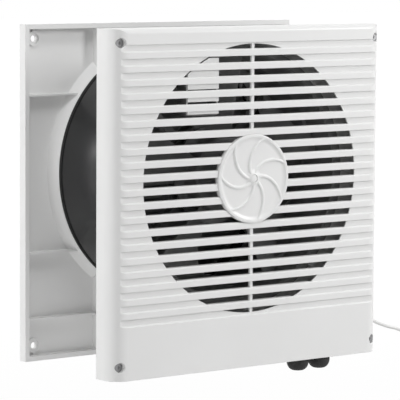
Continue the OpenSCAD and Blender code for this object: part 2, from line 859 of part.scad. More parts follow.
module rear_section() {
    translate([-half, rim_y]) square([cover_size, rear_y - rim_y - rear_round]);
    translate([-half + rear_round, rim_y]) square([cover_size - 2 * rear_round, rear_y - rim_y]);
    for (s = [-1, 1]) translate([s * (half - rear_round), rear_y - rear_round])
        circle(rear_round, $fn = round_fn);
}

module rear_ribs() {
    inner = half - rim_w + 0.5;
    for (s = [-1, 1]) {
        translate([-inner, rim_y + 0.5, s * rib_at - rib_w / 2])
            cube([2 * inner, tray_depth, rib_w]);
        translate([s * rib_at - rib_w / 2, rim_y + 0.5, mid_z - inner])
            cube([rib_w, tray_depth, 2 * inner]);
    }
    translate([-inner, rim_y + 0.5, low_rib_z - rib_w / 2]) cube([2 * inner, tray_depth, rib_w]);
}

module rear_cover() {
    tray_half = half - rim_w;
    color(white) difference() {
        union() {
            difference() {
                rear_form();
                translate([-tray_half, rim_y - over, mid_z - tray_half])
                    cube([2 * tray_half, tray_depth + over, 2 * tray_half]);
            }
            difference() {
                rear_ribs();
                disc(collar_bore_r + 1, rim_y - over, floor_y);
            }
            turned([[collar_bore_r, collar_lip_y], [collar_bore_r + collar_lip, collar_lip_y],
                [collar_bore_r + collar_foot, floor_y - collar_fillet],
                [collar_bore_r + collar_foot + collar_fillet / 3, floor_y - collar_fillet / 3],
                [collar_bore_r + collar_foot + collar_fillet, floor_y],
                [collar_bore_r + collar_foot + collar_fillet, floor_y + 0.5],
                [collar_bore_r, floor_y + 0.5]]);
            at_corners(rear_hole_x, rear_hole_z) disc(rear_boss_r, floor_y - rear_boss_h, floor_y + over);
            for (sx = [-1, 1]) for (low = [rear_hole_z, -tray_half - over])
                translate([sx * rear_hole_x - rib_w / 2, floor_y - rear_boss_h, mid_z + low])
                    cube([rib_w, rear_boss_h + over, tray_half + over - rear_hole_z]);
        }
        at_corners(rear_hole_x, rear_hole_z) {
            disc(rear_hole_r, rim_y, rear_y + over);
            disc(rear_sink_r, rim_y, floor_y - rear_boss_h + rear_sink_depth);
        }
        intersection() {
            slot_boxes(floor_y - over, rear_y + over);
            disc(rear_grille_r, floor_y - over, rear_y + over);
        }
    }
}

// Slanted louvres in the sleeve's end, each dropping by one slot's pitch, so
// that nobody sees through
module rear_louvre() {
    color(charcoal) {
        tube(louvre_r, louvre_r - louvre_wall, rim_y, floor_y);
        intersection() {
            for (i = [0:slot_count]) translate([-half, 0, slots_low + (i - 0.5) * slot_pitch])
                rotate([90, 0, 90]) linear_extrude(cover_size)
                    polygon([[rim_y, slot_pitch - louvre_t / 2], [floor_y, -louvre_t / 2],
                        [floor_y, louvre_t / 2], [rim_y, slot_pitch + louvre_t / 2]]);
            disc(louvre_r - louvre_wall / 2, rim_y, floor_y);
        }
    }
}

module outer_sleeve() {
    color(charcoal) turned([[outer_bore_r, rim_y - outer_len + 1], [outer_bore_r + 0.6, rim_y - outer_len],
        [sleeve_r, rim_y - outer_len], [sleeve_r, floor_y], [outer_bore_r, floor_y]]);
}

// Rubber ring on the sleeve, against the lip of the collar
module sleeve_seal() {
    back = collar_lip_y - seal_gap;
    color(black) turned([[sleeve_r, back - seal_w], [sleeve_r + seal_t, back - seal_w + seal_gap],
        [sleeve_r + seal_t, back], [sleeve_r, back]]);
}

// Mains lead

// Turn t of the coil, counted from its start at the right, going down
function coil_point(t) =
    let (stage = layer_turns + climb_turns, layer = min(floor(t / stage), layer_count - 1),
        part = t - layer * stage, wound = min(part, layer_turns),
        climb = max(0, part - layer_turns) / climb_turns,
        r = layer % 2 == 0 ? coil_out_r - turn_pitch * wound : coil_in_r + turn_pitch * wound)
    [coil_x + r * cos(full_turn * t), coil_y - layer_pitch * (layer + climb),
        coil_z - r * sin(full_turn * t)];
coil_steps = ceil(coil_total * coil_rings);
coil_turns = [for (i = [0:coil_steps]) coil_point(coil_total * i / coil_steps)];
coil_path = concat([lead_end], coil_turns, [coil_turns[coil_steps] - [0, 0, lead_d]]);
coil_gap = min([for (i = [0:2:coil_steps - coil_rings / 2]) for (j = [i + coil_rings / 2:coil_steps])
    norm(coil_turns[i] - coil_turns[j])]) - lead_d;
echo(str("Least gap between the lead's turns, in mm: ", coil_gap));

module cord_grommet() {
    color(white) translate([0, lead_exit[1], lead_exit[2]]) rotate([0, 90, 0]) {
        translate([0, 0, half]) cylinder(r = grommet_flange_r, h = grommet_flange_t, $fn = round_fn);
        translate([0, 0, half - wall - over])
            cylinder(r = grommet_neck_r, h = wall + over + 0.2, $fn = round_fn);
        translate([0, 0, half - wall - over]) cylinder(r = grommet_flange_r, h = over, $fn = round_fn);
        translate([0, 0, half - wall - grommet_tail])
            cylinder(r1 = lead_r + 0.4, r2 = grommet_neck_r, h = grommet_tail - over + 0.2, $fn = round_fn);
    }
}

module power_cord() {
    color(white) swept(lead_route, lead_r, 8);
}

module cord_coil() {
    color(white) swept(coil_path, lead_r, 6);
}

// Tie round the coil at its left side
module cord_tie() {
    in_x = coil_x - coil_in_r + lead_r + tie_gap + 0.3;
    out_x = coil_x - coil_out_r - lead_r - tie_gap;
    front = coil_back_y - lead_r - tie_gap;
    back = coil_y + lead_r + tie_gap;
    color(black) difference() {
        translate([out_x - tie_t, front - tie_t, coil_z - tie_w / 2])
            cube([in_x - out_x + 2 * tie_t, back - front + 2 * tie_t, tie_w]);
        translate([out_x, front, coil_z - tie_w]) cube([in_x - out_x, back - front, 2 * tie_w]);
    }
}

module plug_lead() {
    top = coil_path[len(coil_path) - 1];
    color(white) swept([for (i = [0:4]) top + (plug_top - top) * i / 4], lead_r, 8);
}

module plug_body() {
    corner = plug_t / 2 - 2;
    color(white) translate(plug_top) {
        translate([0, 0, -relief_len]) cylinder(r1 = 4.5, r2 = lead_r + 0.7, h = relief_len, $fn = round_fn);
        translate([0, 0, -relief_len - plug_h]) linear_extrude(plug_h) {
            square([plug_w - 2 * corner, plug_t], center = true);
            square([plug_w, plug_t - 2 * corner], center = true);
            for (sx = [-1, 1]) for (sy = [-1, 1])
                translate([sx * (plug_w / 2 - corner), sy * (plug_t / 2 - corner)])
                    circle(corner, $fn = round_fn);
        }
    }
}

module plug_pins() {
    color(brass) translate(plug_top - [0, 0, relief_len + plug_h + blade_len]) for (s = [-1, 1])
        translate([s * blade_gap / 2 - 0.75, -blade_w / 2, 0]) cube([1.5, blade_w, blade_len]);
}

front_cover();
swirl_cap();
front_base();
cover_screws();
inner_sleeve();
fan_frame();
motor_housing();
front_bearing();
rear_bearing();
motor_screws();
terminal_box();
terminal_lid();
lid_screw();
speed_control();
power_switch();
control_nuts();
cord_grommet();
power_cord();
cord_coil();
cord_tie();
plug_lead();
plug_body();
plug_pins();
impeller();
motor_shaft();
hub_nut();
speed_knob();
speed_spindle();
switch_knob();
switch_spindle();
rear_cover();
rear_louvre();
outer_sleeve();
sleeve_seal();
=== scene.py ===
import json
import math

import bmesh
import bpy
from mathutils import Matrix, Vector


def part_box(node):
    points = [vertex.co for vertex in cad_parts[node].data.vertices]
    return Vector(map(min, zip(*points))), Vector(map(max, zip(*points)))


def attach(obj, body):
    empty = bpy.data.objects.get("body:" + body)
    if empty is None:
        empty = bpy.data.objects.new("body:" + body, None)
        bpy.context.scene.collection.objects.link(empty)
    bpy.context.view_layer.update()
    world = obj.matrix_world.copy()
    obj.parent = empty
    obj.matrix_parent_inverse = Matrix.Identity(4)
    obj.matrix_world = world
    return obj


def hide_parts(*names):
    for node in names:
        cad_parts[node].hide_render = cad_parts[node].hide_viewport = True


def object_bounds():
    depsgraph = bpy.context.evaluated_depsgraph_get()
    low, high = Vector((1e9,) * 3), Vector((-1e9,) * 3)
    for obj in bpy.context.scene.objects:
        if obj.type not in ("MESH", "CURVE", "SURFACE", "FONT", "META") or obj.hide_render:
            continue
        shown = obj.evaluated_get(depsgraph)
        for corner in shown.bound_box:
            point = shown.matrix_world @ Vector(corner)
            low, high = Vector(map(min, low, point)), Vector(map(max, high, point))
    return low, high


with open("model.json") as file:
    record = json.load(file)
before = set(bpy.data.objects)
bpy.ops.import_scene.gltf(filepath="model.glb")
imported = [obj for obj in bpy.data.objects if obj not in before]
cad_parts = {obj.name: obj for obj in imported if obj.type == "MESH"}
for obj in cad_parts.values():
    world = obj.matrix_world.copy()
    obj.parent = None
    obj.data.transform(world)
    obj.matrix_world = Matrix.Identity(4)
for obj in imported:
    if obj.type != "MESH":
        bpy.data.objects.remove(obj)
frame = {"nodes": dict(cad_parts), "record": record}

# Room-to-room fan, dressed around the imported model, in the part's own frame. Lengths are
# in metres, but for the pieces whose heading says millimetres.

MM = 0.001
cad_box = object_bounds()
nodes = frame["nodes"]
scene = bpy.context.scene


# Camera, at the place and with the lens that the photograph's perspective gives

CAMERA_AT = Vector((-1370.74, -1736.85, 202.6)) * MM
CAMERA_YAW = math.radians(37.51)
CAMERA_PITCH = math.radians(5.76)
CAMERA_ROLL = math.radians(0.36)
FOCAL_PIXELS = 2595.27
PHOTO_PIXELS = 400
SENSOR_MM = 36.0
CLIP_NEAR, CLIP_FAR = 0.05, 20.0


def make_camera():
    """The photograph's camera, turned by its yaw, pitch and roll from a look along +Y."""
    data = bpy.data.cameras.new("camera")
    data.sensor_fit = "HORIZONTAL"
    data.sensor_width = SENSOR_MM
    data.lens = FOCAL_PIXELS * SENSOR_MM / PHOTO_PIXELS
    data.clip_start, data.clip_end = CLIP_NEAR, CLIP_FAR
    camera = bpy.data.objects.new("camera", data)
    scene.collection.objects.link(camera)
    yaw, pitch = CAMERA_YAW, CAMERA_PITCH
    ahead = Vector((math.sin(yaw) * math.cos(pitch), math.cos(yaw) * math.cos(pitch),
                    -math.sin(pitch)))
    level = Vector((math.cos(yaw), -math.sin(yaw), 0.0))
    above = level.cross(ahead)
    right = math.cos(CAMERA_ROLL) * level + math.sin(CAMERA_ROLL) * above
    up = right.cross(ahead)
    turn = Matrix((right, up, -ahead)).transposed()
    camera.matrix_world = Matrix.Translation(CAMERA_AT) @ turn.to_4x4()
    scene.camera = camera


make_camera()


# Helpers

TURN = 2 * math.pi
EDGE_STEPS = 6


def link(obj):
    scene.collection.objects.link(obj)
    return obj


def solid(name, points, faces, sharp=35.0):
    """A closed mesh, smooth but for edges sharper than that many degrees."""
    mesh = bpy.data.meshes.new(name)
    mesh.from_pydata([tuple(p) for p in points], [], faces)
    shape = bmesh.new()
    shape.from_mesh(mesh)
    bmesh.ops.recalc_face_normals(shape, faces=shape.faces)
    shape.to_mesh(mesh)
    shape.free()
    mesh.shade_smooth()
    mesh.set_sharp_from_angle(angle=math.radians(sharp))
    return link(bpy.data.objects.new(name, mesh))


def ring_faces(rings, around, start=0, closed=False):
    """Faces between neighbouring rings of points. The last ring meets the first
    where closed is true, and otherwise both end rings are filled."""
    faces = []
    for i in range(rings if closed else rings - 1):
        this, that = start + i * around, start + (i + 1) % rings * around
        for k in range(around):
            n = (k + 1) % around
            faces.append((this + k, this + n, that + n, that + k))
    if not closed:
        faces.append(tuple(start + k for k in reversed(range(around))))
        faces.append(tuple(start + (rings - 1) * around + k for k in range(around)))
    return faces


def about_y(r, y, angle):
    """The point at a radius, a place along the sleeve's axis and an angle about it."""
    return Vector((r * math.cos(angle), y, r * math.sin(angle)))


def arc(centre, radius, first, last, steps):
    """Points of a profile on an arc between two angles in degrees."""
    angles = [math.radians(first + (last - first) * i / steps) for i in range(steps + 1)]
    return [(centre[0] + radius * math.cos(a), centre[1] + radius * math.sin(a)) for a in angles]


def smooth_path(points, steps):
    """Points on a Catmull-Rom curve through the given ones."""
    ends = [2 * points[0] - points[1]] + points + [2 * points[-1] - points[-2]]
    path = []
    for i in range(1, len(ends) - 2):
        a, b, c, d = ends[i - 1:i + 3]
        for s in range(steps):
            t = s / steps
            path.append(0.5 * ((2 * b) + (c - a) * t + (2 * a - 5 * b + 4 * c - d) * t * t
                               + (3 * b - a - 3 * c + d) * t ** 3))
    path.append(points[-1].copy())
    return path


def tube(name, path, radius, sides):
    """A round tube along a path, with filled ends."""
    points = []
    across = (path[1] - path[0]).orthogonal()
    for i, at in enumerate(path):
        ahead = (path[min(i + 1, len(path) - 1)] - path[max(i - 1, 0)]).normalized()
        across = (across - across.dot(ahead) * ahead).normalized()
        other = ahead.cross(across)
        for k in range(sides):
            a = TURN * k / sides
            points.append(at + radius * (math.cos(a) * across + math.sin(a) * other))
    return solid(name, points, ring_faces(len(path), sides), sharp=60.0)


# Mains lead: the route from the grommet, the coil and the drop to the plug are the
# source's own

LEAD_D = 3 * MM
LEAD_ROUTE = [Vector(p) * MM for p in (
    (145.8, -8, -135.5), (149, -8, -135.7), (152, -8, -136.6), (156, -8, -138.3), (160, -8, -140),
    (165, -8, -141.8), (172, -8, -144), (179, -8, -145.8), (186, -8, -148.2), (194, -8, -151.3),
    (203, -8, -155.6), (212, -7.5, -160.6), (221, -6.5, -166.6), (229.5, -5.5, -173.5),
    (237, -5, -181.3), (243.5, -4.7, -190), (248.5, -4.5, -199.5), (251.3, -4.5, -207.5),
    (252, -4.5, -214), (252, -4.5, -217))]
COIL_R = 18.2 * MM
TURN_PITCH = 3.9 * MM
LAYER_PITCH = 3.75 * MM
LAYER_COUNT = 4
LAYER_TURNS = 3.125
CLIMB_TURNS = 0.5
COIL_POINTS = 40
TAIL_DROP = 22 * MM
TAIL_STEPS = 4
ROUTE_STEPS = 3
LEAD_AROUND = 12


def coil_path(start):
    """The coil's turns, layer by layer, from the end of the route."""
    outer = COIL_R + LAYER_TURNS * TURN_PITCH / 2
    inner = COIL_R - LAYER_TURNS * TURN_PITCH / 2
    centre = start + Vector((-outer, 0, -LEAD_D))
    stage = LAYER_TURNS + CLIMB_TURNS
    total = LAYER_COUNT * stage - CLIMB_TURNS
    count = round(total * COIL_POINTS)
    path = []
    for i in range(count + 1):
        turn = total * i / count
        layer = min(int(turn / stage), LAYER_COUNT - 1)
        part = turn - layer * stage
        wound = TURN_PITCH * min(part, LAYER_TURNS)
        climb = max(0.0, part - LAYER_TURNS) / CLIMB_TURNS
        r = outer - wound if layer % 2 == 0 else inner + wound
        angle = TURN * turn
        path.append(centre + Vector((r * math.cos(angle), -LAYER_PITCH * (layer + climb),
                                     -r * math.sin(angle))))
    return path


RELIEF_RIBS = 5
RIB_SECTIONS = 4
RELIEF_LEN = 14 * MM
RELIEF_TOP_R = 2.2 * MM
RELIEF_FOOT_R = 4.5 * MM
RIB_DEPTH = 0.5 * MM
ROUND = 2.0
# Sections of the plug below its relief, in millimetres: how far down, half width, half
# depth, and how square the outline is, from round upwards
PLUG_SECTIONS = [
    (14.6, 6.4, 5.2, 2.2), (15.6, 8.2, 5.9, 2.5), (17.6, 9.6, 6.3, 3.0), (20.5, 10.6, 6.8, 3.4),
    (23.0, 11.0, 7.0, 3.8), (24.6, 10.9, 6.9, 3.8), (25.4, 10.3, 6.4, 3.8), (26.2, 10.3, 6.4, 3.8),
    (27.0, 10.9, 6.9, 3.8), (28.0, 10.9, 6.9, 3.8), (28.8, 10.3, 6.4, 3.8), (29.6, 10.3, 6.4, 3.8),
    (30.4, 10.9, 6.9, 3.8), (33.0, 11.0, 7.0, 4.0), (36.6, 11.0, 7.0, 4.0), (37.6, 10.7, 6.7, 4.0),
    (38.0, 10.1, 6.1, 4.0)]
PLUG_AROUND = 48
TIE_T = 1.0 * MM
TIE_CORNER = 2.6 * MM
TIE_EDGE = 0.3 * MM


def outline_point(centre, half_x, half_y, power, angle):
    """A point of a rounded outline round a height of the plug."""
    c, s = math.cos(angle), math.sin(angle)
    return centre + Vector((math.copysign(abs(c) ** (2 / power), c) * half_x,
                            math.copysign(abs(s) ** (2 / power), s) * half_y, 0))


def plug():
    """Moulded plug with a ribbed strain relief and two grip grooves."""
    low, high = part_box("plug_body")
    top = Vector(((low[0] + high[0]) / 2, (low[1] + high[1]) / 2, high[2]))
    sections = []
    relief_sections = RIB_SECTIONS * RELIEF_RIBS
    for i in range(relief_sections + 1):
        share = i / relief_sections
        r = RELIEF_TOP_R + (RELIEF_FOOT_R - RELIEF_TOP_R) * share
        if i % RIB_SECTIONS >= RIB_SECTIONS / 2:
            r -= RIB_DEPTH
        sections.append((RELIEF_LEN * share, r, r, ROUND))
    sections += [(z * MM, x * MM, y * MM, power) for z, x, y, power in PLUG_SECTIONS]
    points = [outline_point(top - Vector((0, 0, z)), x, y, power, TURN * k / PLUG_AROUND)
              for z, x, y, power in sections for k in range(PLUG_AROUND)]
    piece = solid("plug", points, ring_faces(len(sections), PLUG_AROUND))
    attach(piece, "housing")
    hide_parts("plug_body")
    return piece


def coil_tie():
    """Flat strap round the coil, with rounded corners and edges."""
    low, high = (Vector(c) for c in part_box("cord_tie"))
    middle = (low + high) / 2
    half_w = (high.x - low.x) / 2 - TIE_CORNER
    half_d = (high.y - low.y) / 2 - TIE_CORNER
    half_h = (high.z - low.z) / 2
    section = [(0, half_h - TIE_EDGE), (TIE_EDGE, half_h), (TIE_T - TIE_EDGE, half_h),
               (TIE_T, half_h - TIE_EDGE), (TIE_T, TIE_EDGE - half_h), (TIE_T - TIE_EDGE, -half_h),
               (TIE_EDGE, -half_h), (0, TIE_EDGE - half_h)]
    points = []
    corners = [(half_w, half_d), (-half_w, half_d), (-half_w, -half_d), (half_w, -half_d)]
    for number, (x, y) in enumerate(corners):
        for step in range(EDGE_STEPS + 1):
            a = TURN / 4 * (number + step / EDGE_STEPS)
            for inwards, z in section:
                r = TIE_CORNER - inwards
                points.append(middle + Vector((x + r * math.cos(a), y + r * math.sin(a), z)))
    rings = len(points) // len(section)
    piece = solid("coil_tie", points, ring_faces(rings, len(section), closed=True), sharp=50.0)
    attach(piece, "housing")
    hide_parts("cord_tie")
    return piece


def mains_lead():
    """The whole lead: its route down from the grommet, the coil and the drop to the plug."""
    coil = coil_path(LEAD_ROUTE[-1])
    tail = coil[-1] - Vector((0, 0, LEAD_D))
    drop = [tail - Vector((0, 0, TAIL_DROP * i / TAIL_STEPS)) for i in range(TAIL_STEPS + 1)]
    path = smooth_path(LEAD_ROUTE, ROUTE_STEPS) + coil + drop
    piece = tube("mains_lead", path, LEAD_D / 2, LEAD_AROUND)
    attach(piece, "housing")
    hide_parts("power_cord", "cord_coil", "plug_lead")
    return piece


plug_piece = plug()
tie_piece = coil_tie()
lead = mains_lead()


# Rosette, in millimetres: the source's scoops on a finer grid, with round crests

CAP_R = 37.9
CAP_FRONT = -26.2
CAP_BACK = -22.4
CAP_EDGE = 0.9
CAP_CENTRE_R = 0.4
BOSS_PROFILE = [(CAP_CENTRE_R, 0), (2.9, 0), (3.1, 0.1), (3.34, 0.4), (3.6, -0.4), (3.75, -0.6),
                (4.1, -0.5), (4.5, -0.25)]
PETALS_IN = 5.0
PETALS_OUT = 35.3
PETAL_RISE = 1.3
PETAL_COUNT = 7
PETAL_START = 121
PETAL_TURN = 1.62
IN_FADE = 4
OUT_FADE = 3.5
CREST_POWER = 5
FLANK_WIDTH = 1.9
FLANK_SHARE = 0.3
FLANK_PART = 0.85
CREST_SHARE = 0.35
PETAL_COLUMNS = 36
PETAL_RINGS = 44


def ease(t):
    """A rise from 0 that slows down to 1, and stays there from t = 1 on."""
    return math.sin(TURN / 4 * min(1.0, t))


def closer_at_ends(i, steps):
    """Step i from 0 to 1, where the steps are closer together at both ends."""
    return (1 - math.cos(TURN / 2 * i / steps)) / 2


def petal_depth(r, across):
    """Depth of a scoop below its crests, at a radius and a place from crest to crest. A crest
    is round, with steep flanks, and the floor between two crests is a little hollow."""
    petal_width = TURN * r / PETAL_COUNT
    flank = min(FLANK_WIDTH, petal_width * FLANK_SHARE)
    beside = min(across, 1 - across) * petal_width - flank * CREST_SHARE
    t = min(1.0, max(0.0, beside) / (flank * (1 - CREST_SHARE)))
    steep = FLANK_PART * t * t * (3 - 2 * t)
    hollow = (1 - FLANK_PART) * (1 - abs(2 * across - 1) ** CREST_POWER)
    fade = ease((r - PETALS_IN) / IN_FADE)
    return PETAL_RISE * (steep + hollow) * fade * ease((PETALS_OUT - r) / OUT_FADE)


def rosette():
    """Round cap, with scoops that swirl from the boss to the rim between their crests."""
    reach = PETALS_OUT - PETALS_IN
    radii = [PETALS_IN + reach * closer_at_ends(i, PETAL_RINGS) for i in range(PETAL_RINGS + 1)]
    edge = arc((CAP_R - CAP_EDGE, CAP_EDGE), CAP_EDGE, -90, 0, EDGE_STEPS)
    profile = BOSS_PROFILE + [(r, 0) for r in radii] + edge
    profile += [(CAP_R, CAP_BACK - CAP_FRONT), (CAP_CENTRE_R, CAP_BACK - CAP_FRONT)]
    columns = [closer_at_ends(k, PETAL_COLUMNS) for k in range(PETAL_COLUMNS)]
    points = []
    for r, y in profile:
        on_petals = min(max(r, PETALS_IN), PETALS_OUT)
        swirl = PETAL_TURN * (on_petals - PETALS_IN)
        for petal in range(PETAL_COUNT):
            for across in columns:
                a = PETAL_START - 360 * (petal + across) / PETAL_COUNT - swirl
                deep = petal_depth(r, across) if on_petals == r else 0.0
                points.append(about_y(r, CAP_FRONT + y + deep, math.radians(a)) * MM)
    faces = ring_faces(len(profile), PETAL_COUNT * PETAL_COLUMNS)
    piece = solid("rosette", points, faces, sharp=30.0)
    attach(piece, "housing")
    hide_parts("swirl_cap")
    return piece


rosette_piece = rosette()


# Fan wheel, in millimetres and degrees: the source's hub and blades on a finer grid

SHAFT_R = 4
BOSS_OUT_R = 9
HUB_R = 34
HUB_RIM_R = 43
HUB_FRONT = 10
HUB_BACK = 28
HUB_RIM_T = 2
HUB_EDGE = 3
HUB_WALL = 2.5
HUB_AROUND = 144
BLADE_COUNT = 5
BLADE_FRONT = 13
BLADE_CLIMB = 19
BLADE_THICK = 1.8
BLADE_CAMBER = 1.35
BLADE_START = 8
BLADE_ROOT_R = 32.8
TIP_R = 102.7
ROOT_SPAN = 40
WAIST_SPAN = 30
TIP_SPAN = 71
TIP_POWER = 8
BLADE_ROWS = 30
BLADE_COLUMNS = 24
BLADE_EDGE = 0.03


def blade_span(r):
    """Degrees that a blade covers at a radius."""
    share = r / TIP_R
    inwards = max(0.0, 1 - share) / (1 - BLADE_ROOT_R / TIP_R)
    wider_at_tip = (TIP_SPAN - WAIST_SPAN) * share ** TIP_POWER
    wider_at_root = (ROOT_SPAN - WAIST_SPAN) * inwards ** 2
    return WAIST_SPAN + wider_at_tip + wider_at_root


def blade_ring(r, lead_angle):
    """Points round one blade at a radius: along its front, then back along its rear."""
    ring = []
    for side in (0, 1):
        for j in range(BLADE_COLUMNS + 1):
            t = j / BLADE_COLUMNS if side == 0 else 1 - j / BLADE_COLUMNS
            round_off = BLADE_THICK / 2 * (1 - ease(min(t, 1 - t) / BLADE_EDGE))
            y = BLADE_FRONT + BLADE_CLIMB * (1 - (1 - t) ** BLADE_CAMBER)
            y += BLADE_THICK - round_off if side else round_off
            angle = lead_angle + BLADE_START + t * blade_span(r)
            ring.append(about_y(r, y, math.radians(angle)) * MM)
    return ring


def fan_wheel():
    """Hollow hub with a rear rim and a boss for the shaft, and broad blades round it."""
    inside_r, inside_y = HUB_R - HUB_WALL, HUB_FRONT + HUB_WALL
    rim_back = HUB_BACK + HUB_RIM_T
    hub = [(SHAFT_R, HUB_FRONT)]
    hub += arc((HUB_R - HUB_EDGE, HUB_FRONT + HUB_EDGE), HUB_EDGE, -90, 0, EDGE_STEPS)
    hub += arc((HUB_R + HUB_EDGE, HUB_BACK - HUB_EDGE), HUB_EDGE, 180, 90, EDGE_STEPS)
    hub += [(HUB_RIM_R, HUB_BACK), (HUB_RIM_R, rim_back), (inside_r, rim_back),
            (inside_r, inside_y), (BOSS_OUT_R, inside_y), (BOSS_OUT_R, HUB_BACK),
            (SHAFT_R, HUB_BACK)]
    points = [about_y(r, y, TURN * k / HUB_AROUND) * MM for r, y in hub for k in range(HUB_AROUND)]
    faces = ring_faces(len(hub), HUB_AROUND, closed=True)
    around = 2 * (BLADE_COLUMNS + 1)
    for blade in range(BLADE_COUNT):
        start = len(points)
        for i in range(BLADE_ROWS + 1):
            r = BLADE_ROOT_R + (TIP_R - BLADE_ROOT_R) * i / BLADE_ROWS
            points += blade_ring(r, 360 * blade / BLADE_COUNT)
        faces += ring_faces(BLADE_ROWS + 1, around, start)
    piece = solid("fan_wheel", points, faces, sharp=40.0)
    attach(piece, "fan")
    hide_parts("impeller")
    return piece


wheel_piece = fan_wheel()


# Knobs, in millimetres: domes with a hollow for the nut

KNOB_R = 9.6
KNOB_CROWN_R = 3.36
KNOB_NUT_R = 7.2
KNOB_CENTRE_R = 0.3
KNOB_EDGE = 0.5
KNOB_SKIRT = 2
NUT_HOLLOW = 5.0
KNOB_AROUND = 96
DOME_STEPS = 14


def knob(node, body, name):
    """A knob that hangs crown down, with a short straight skirt at its top."""
    low, high = (Vector(c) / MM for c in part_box(node))
    x, y = (low.x + high.x) / 2, (low.y + high.y) / 2
    top, bottom = high.z, low.z
    drop = top - KNOB_SKIRT - bottom
    chamfer = KNOB_EDGE / 4
    profile = [(KNOB_CENTRE_R, top - NUT_HOLLOW), (KNOB_NUT_R, top - NUT_HOLLOW),
               (KNOB_NUT_R, top), (KNOB_R - KNOB_EDGE, top), (KNOB_R - chamfer, top - chamfer),
               (KNOB_R, top - KNOB_EDGE)]
    for i in range(DOME_STEPS + 1):
        a = TURN / 4 * i / DOME_STEPS
        profile.append((KNOB_CROWN_R + (KNOB_R - KNOB_CROWN_R) * math.cos(a),
                        top - KNOB_SKIRT - drop * math.sin(a)))
    profile.append((KNOB_CENTRE_R, bottom))
    angles = [TURN * k / KNOB_AROUND for k in range(KNOB_AROUND)]
    points = [Vector((x + r * math.cos(a), y + r * math.sin(a), z)) * MM
              for r, z in profile for a in angles]
    piece = solid(name, points, ring_faces(len(profile), KNOB_AROUND))
    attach(piece, body)
    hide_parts(node)
    return piece


knob_pieces = [knob("speed_knob", "speed_dial", "speed_dome"),
               knob("switch_knob", "switch_dial", "switch_dome")]


# Materials: the scales are those of the noise, and the depths those of its bumps

CLOUD_SCALE = 9.0
SHEEN_SCALE = 60.0
SHEEN_SPREAD = 0.04
GRAIN_DETAIL = 2.0
GRAIN_DEPTH = 0.0002
METAL_DARKER = 0.85
METAL_CLOUD_SCALE = 40.0
METAL_SHEEN_SCALE = 300.0
METAL_SHEEN_SPREAD = 0.08
SCRATCH_SCALE = 900.0
SCRATCH = 0.15
SCRATCH_DEPTH = 0.0001
RAMP_FROM, RAMP_TO = 0.3, 0.7
BEVEL_SAMPLES = 4


def new_material(name):
    """A material with a plain shader, its node tree and the shader."""
    material = bpy.data.materials.new(name)
    material.use_nodes = True
    tree = material.node_tree
    tree.nodes.clear()
    out = tree.nodes.new("ShaderNodeOutputMaterial")
    shader = tree.nodes.new("ShaderNodeBsdfPrincipled")
    tree.links.new(shader.outputs["BSDF"], out.inputs["Surface"])
    return material, tree, shader


def noise(tree, scale, detail=3.0):
    """Noise from 0 to 1 that stays in place on the object."""
    place = tree.nodes.new("ShaderNodeTexCoord")
    texture = tree.nodes.new("ShaderNodeTexNoise")
    texture.inputs["Scale"].default_value = scale
    texture.inputs["Detail"].default_value = detail
    tree.links.new(place.outputs["Object"], texture.inputs["Vector"])
    return texture.outputs["Fac"]


def spread(tree, source, low, high):
    """source, from 0 to 1, laid between low and high."""
    node = tree.nodes.new("ShaderNodeMapRange")
    node.inputs["To Min"].default_value = low
    node.inputs["To Max"].default_value = high
    tree.links.new(source, node.inputs["Value"])
    return node.outputs["Result"]


def tint(tree, source, dark, light):
    """A colour between dark and light, as source goes from 0 to 1."""
    ramp = tree.nodes.new("ShaderNodeValToRGB")
    first, last = ramp.color_ramp.elements
    first.color, first.position = (*dark, 1), RAMP_FROM
    last.color, last.position = (*light, 1), RAMP_TO
    tree.links.new(source, ramp.inputs["Fac"])
    return ramp.outputs["Color"]


def bump(tree, shader, source, strength, distance, edge=0.0):
    """Bumps the shader's surface, over edges rounded by the width edge."""
    node = tree.nodes.new("ShaderNodeBump")
    node.inputs["Strength"].default_value = strength
    node.inputs["Distance"].default_value = distance
    tree.links.new(source, node.inputs["Height"])
    if edge:
        bevel = tree.nodes.new("ShaderNodeBevel")
        bevel.samples = BEVEL_SAMPLES
        bevel.inputs["Radius"].default_value = edge
        tree.links.new(bevel.outputs["Normal"], node.inputs["Normal"])
    tree.links.new(node.outputs["Normal"], shader.inputs["Normal"])


def plastic(name, dark, light, rough, grain_scale, grain, edge=0.0):
    """Moulded plastic: cloudy colour, uneven sheen and a fine grain."""
    material, tree, shader = new_material(name)
    clouds = noise(tree, CLOUD_SCALE)
    tree.links.new(tint(tree, clouds, dark, light), shader.inputs["Base Color"])
    sheen = spread(tree, noise(tree, SHEEN_SCALE), rough - SHEEN_SPREAD, rough + SHEEN_SPREAD)
    tree.links.new(sheen, shader.inputs["Roughness"])
    bump(tree, shader, noise(tree, grain_scale, GRAIN_DETAIL), grain, GRAIN_DEPTH, edge)
    return material


def metal(name, colour, rough):
    """Turned or plated metal with fine scratches."""
    material, tree, shader = new_material(name)
    clouds = noise(tree, METAL_CLOUD_SCALE)
    dark = [c * METAL_DARKER for c in colour]
    tree.links.new(tint(tree, clouds, dark, colour), shader.inputs["Base Color"])
    sheen = spread(tree, noise(tree, METAL_SHEEN_SCALE), rough - METAL_SHEEN_SPREAD,
                   rough + METAL_SHEEN_SPREAD)
    tree.links.new(sheen, shader.inputs["Roughness"])
    shader.inputs["Metallic"].default_value = 1.0
    bump(tree, shader, noise(tree, SCRATCH_SCALE), SCRATCH, SCRATCH_DEPTH)
    return material


def grey(level):
    return (level, level, level)


